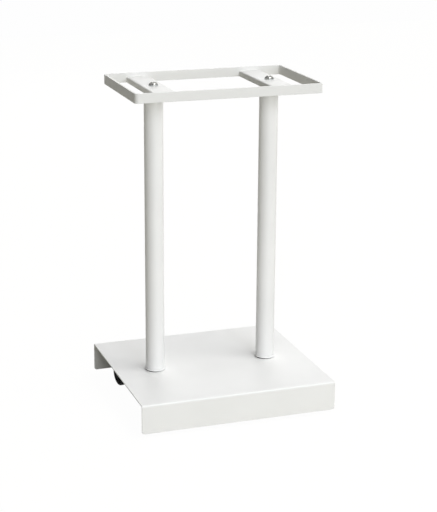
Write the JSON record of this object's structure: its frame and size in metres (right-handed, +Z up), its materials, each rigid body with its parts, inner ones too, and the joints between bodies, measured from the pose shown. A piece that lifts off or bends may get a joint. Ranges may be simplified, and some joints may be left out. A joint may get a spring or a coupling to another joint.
{
  "type": "spool holder stand",
  "caption": "Rolling steel stand: folded base on twin-wheel casters, two tube posts and an open rectangular top frame with cross channels.",
  "frame": {"origin": "on the floor, at the centre of the base", "axes": "+X along the long side to the right, +Y from front to rear, +Z up"},
  "size_m": [0.32, 0.29, 0.523],
  "materials": {
    "white_powder_coat": "satin white powder coat",
    "zinc_plated_steel": "bright zinc plate",
    "bright_steel": "turned bright steel",
    "black_nylon": "moulded black nylon",
    "black_wheel_nylon": "moulded black wheel"
  },
  "bodies": {
    "stand": {"base_plate": "white_powder_coat", "top_ring": "white_powder_coat", "left_post_tube": "white_powder_coat", "left_foot_plug": "white_powder_coat", "left_head_plug": "zinc_plated_steel", "left_cross_channel": "white_powder_coat", "left_top_washer": "zinc_plated_steel", "left_top_screw": "zinc_plated_steel", "left_bottom_washer": "zinc_plated_steel", "left_bottom_screw": "zinc_plated_steel", "right_post_tube": "white_powder_coat", "right_foot_plug": "white_powder_coat", "right_head_plug": "zinc_plated_steel", "right_cross_channel": "white_powder_coat", "right_top_washer": "zinc_plated_steel", "right_top_screw": "zinc_plated_steel", "right_bottom_washer": "zinc_plated_steel", "right_bottom_screw": "zinc_plated_steel", "caster_studs": "zinc_plated_steel", "caster_nuts": "zinc_plated_steel", "front_left_caster_plate": "zinc_plated_steel", "front_left_caster_kingpin": "bright_steel", "front_left_caster_thrust_washer": "zinc_plated_steel", "front_left_caster_snap_ring": "bright_steel", "front_right_caster_plate": "zinc_plated_steel", "front_right_caster_kingpin": "bright_steel", "front_right_caster_thrust_washer": "zinc_plated_steel", "front_right_caster_snap_ring": "bright_steel", "rear_left_caster_plate": "zinc_plated_steel", "rear_left_caster_kingpin": "bright_steel", "rear_left_caster_thrust_washer": "zinc_plated_steel", "rear_left_caster_snap_ring": "bright_steel", "rear_right_caster_plate": "zinc_plated_steel", "rear_right_caster_kingpin": "bright_steel", "rear_right_caster_thrust_washer": "zinc_plated_steel", "rear_right_caster_snap_ring": "bright_steel"},
    "front_left_caster": {"front_left_caster_body": "black_nylon", "front_left_caster_axle": "bright_steel"},
    "front_left_left_wheel": {"front_left_caster_left_wheel": "black_wheel_nylon"},
    "front_left_right_wheel": {"front_left_caster_right_wheel": "black_wheel_nylon"},
    "front_right_caster": {"front_right_caster_body": "black_nylon", "front_right_caster_axle": "bright_steel"},
    "front_right_left_wheel": {"front_right_caster_left_wheel": "black_wheel_nylon"},
    "front_right_right_wheel": {"front_right_caster_right_wheel": "black_wheel_nylon"},
    "rear_left_caster": {"rear_left_caster_body": "black_nylon", "rear_left_caster_axle": "bright_steel"},
    "rear_left_left_wheel": {"rear_left_caster_left_wheel": "black_wheel_nylon"},
    "rear_left_right_wheel": {"rear_left_caster_right_wheel": "black_wheel_nylon"},
    "rear_right_caster": {"rear_right_caster_body": "black_nylon", "rear_right_caster_axle": "bright_steel"},
    "rear_right_left_wheel": {"rear_right_caster_left_wheel": "black_wheel_nylon"},
    "rear_right_right_wheel": {"rear_right_caster_right_wheel": "black_wheel_nylon"}
  },
  "joints": [
    {"name": "front_left_swivel", "type": "hinge", "parent": "stand", "child": "front_left_caster", "pos_m": [-0.125, -0.096, 0.0465], "axis": [0, 0, 1], "continuous": true},
    {"name": "front_left_left_wheel_roll", "type": "hinge", "parent": "front_left_caster", "child": "front_left_left_wheel", "pos_m": [-0.12277, -0.11184, 0.02], "axis": [0.9903, 0.1392, 0], "continuous": true},
    {"name": "front_left_right_wheel_roll", "type": "hinge", "parent": "front_left_caster", "child": "front_left_right_wheel", "pos_m": [-0.12277, -0.11184, 0.02], "axis": [0.9903, 0.1392, 0], "continuous": true},
    {"name": "front_right_swivel", "type": "hinge", "parent": "stand", "child": "front_right_caster", "pos_m": [0.125, -0.096, 0.0465], "axis": [0, 0, 1], "continuous": true},
    {"name": "front_right_left_wheel_roll", "type": "hinge", "parent": "front_right_caster", "child": "front_right_left_wheel", "pos_m": [0.12723, -0.11184, 0.02], "axis": [0.9903, 0.1392, 0], "continuous": true},
    {"name": "front_right_right_wheel_roll", "type": "hinge", "parent": "front_right_caster", "child": "front_right_right_wheel", "pos_m": [0.12723, -0.11184, 0.02], "axis": [0.9903, 0.1392, 0], "continuous": true},
    {"name": "rear_left_swivel", "type": "hinge", "parent": "stand", "child": "rear_left_caster", "pos_m": [-0.125, 0.096, 0.0465], "axis": [0, 0, 1], "continuous": true},
    {"name": "rear_left_left_wheel_roll", "type": "hinge", "parent": "rear_left_caster", "child": "rear_left_left_wheel", "pos_m": [-0.12277, 0.08016, 0.02], "axis": [0.9903, 0.1392, 0], "continuous": true},
    {"name": "rear_left_right_wheel_roll", "type": "hinge", "parent": "rear_left_caster", "child": "rear_left_right_wheel", "pos_m": [-0.12277, 0.08016, 0.02], "axis": [0.9903, 0.1392, 0], "continuous": true},
    {"name": "rear_right_swivel", "type": "hinge", "parent": "stand", "child": "rear_right_caster", "pos_m": [0.125, 0.096, 0.0465], "axis": [0, 0, 1], "continuous": true},
    {"name": "rear_right_left_wheel_roll", "type": "hinge", "parent": "rear_right_caster", "child": "rear_right_left_wheel", "pos_m": [0.12723, 0.08016, 0.02], "axis": [0.9903, 0.1392, 0], "continuous": true},
    {"name": "rear_right_right_wheel_roll", "type": "hinge", "parent": "rear_right_caster", "child": "rear_right_right_wheel", "pos_m": [0.12723, 0.08016, 0.02], "axis": [0.9903, 0.1392, 0], "continuous": true}
  ]
}
